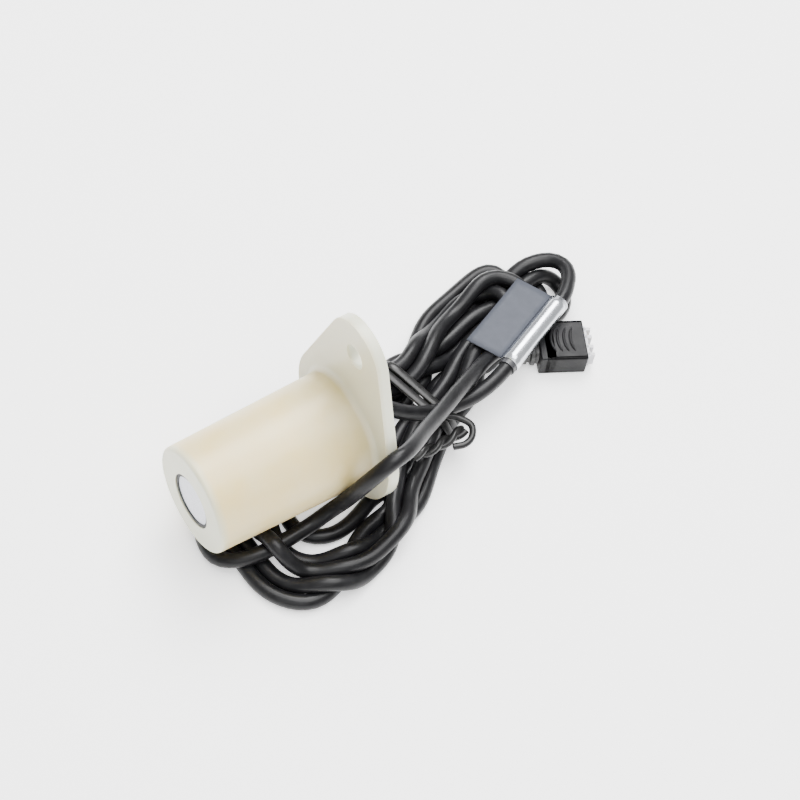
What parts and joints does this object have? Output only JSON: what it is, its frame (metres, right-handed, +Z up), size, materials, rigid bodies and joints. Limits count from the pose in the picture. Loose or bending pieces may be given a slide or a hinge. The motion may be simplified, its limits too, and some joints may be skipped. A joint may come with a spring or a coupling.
{
  "type": "ultrasonic distance sensor",
  "caption": "Round moulded ultrasonic distance sensor head on an eared flange, with a tied hank of coaxial lead, a foil flag label, a twist tie and a plug connector.",
  "frame": {"origin": "on the surface that the sensor lies on, below the middle of the head's length", "axes": "-Y is the way the sensor looks, +Y the way its lead leaves, +Z up through the flange's ear, +X across"},
  "size_m": [0.0585, 0.128, 0.06],
  "materials": {
    "housing_plastic": "milky translucent moulded plastic, satin",
    "sleeve_rubber": "soft matt rubber",
    "white_coat": "fine-grained matt coating",
    "can_aluminium": "drawn, satin",
    "ceramic": "fired ceramic, matt",
    "pad_silicone": "matt silicone",
    "copper": "drawn copper",
    "board": "phenolic laminate",
    "contact_metal": "plated, bright",
    "solder": "bright solder",
    "foam": "open-cell foam",
    "shrink_tube": "satin",
    "dielectric": "waxy polyethylene",
    "braid": "braided copper",
    "lead_jacket": "satin black cable jacket",
    "potting": "cast resin, satin",
    "boot_rubber": "moulded, satin",
    "label_sleeve": "satin shrink tube",
    "foil": "plain metallised label, blank",
    "tie_plastic": "plastic-coated wire, satin",
    "shell_plastic": "overmoulded, fine satin",
    "insert_plastic": "light grey moulding"
  },
  "bodies": {
    "root": {"housing": "housing_plastic", "isolation_sleeve": "sleeve_rubber", "matching_layer": "white_coat", "transducer_can": "can_aluminium", "piezo_disc": "ceramic", "damping_pad": "pad_silicone", "piezo_leads": "copper", "terminal_disc": "board", "terminal_pins": "contact_metal", "solder_joints": "solder", "foam_plug": "foam", "hot_wire": "copper", "ground_wire": "copper", "shrink_sleeves": "shrink_tube", "coax_core": "copper", "coax_dielectric": "dielectric", "coax_braid": "braid", "lead_end": "lead_jacket", "potting": "potting", "cable_boot": "boot_rubber", "cable_lead": "lead_jacket", "cable_hank": "lead_jacket", "cable_tail": "lead_jacket", "label_sleeve": "label_sleeve", "foil_label": "foil", "twist_tie": "tie_plastic", "connector_neck": "boot_rubber", "connector_shell": "shell_plastic", "connector_insert": "insert_plastic", "connector_contacts": "contact_metal"}
  },
  "joints": []
}
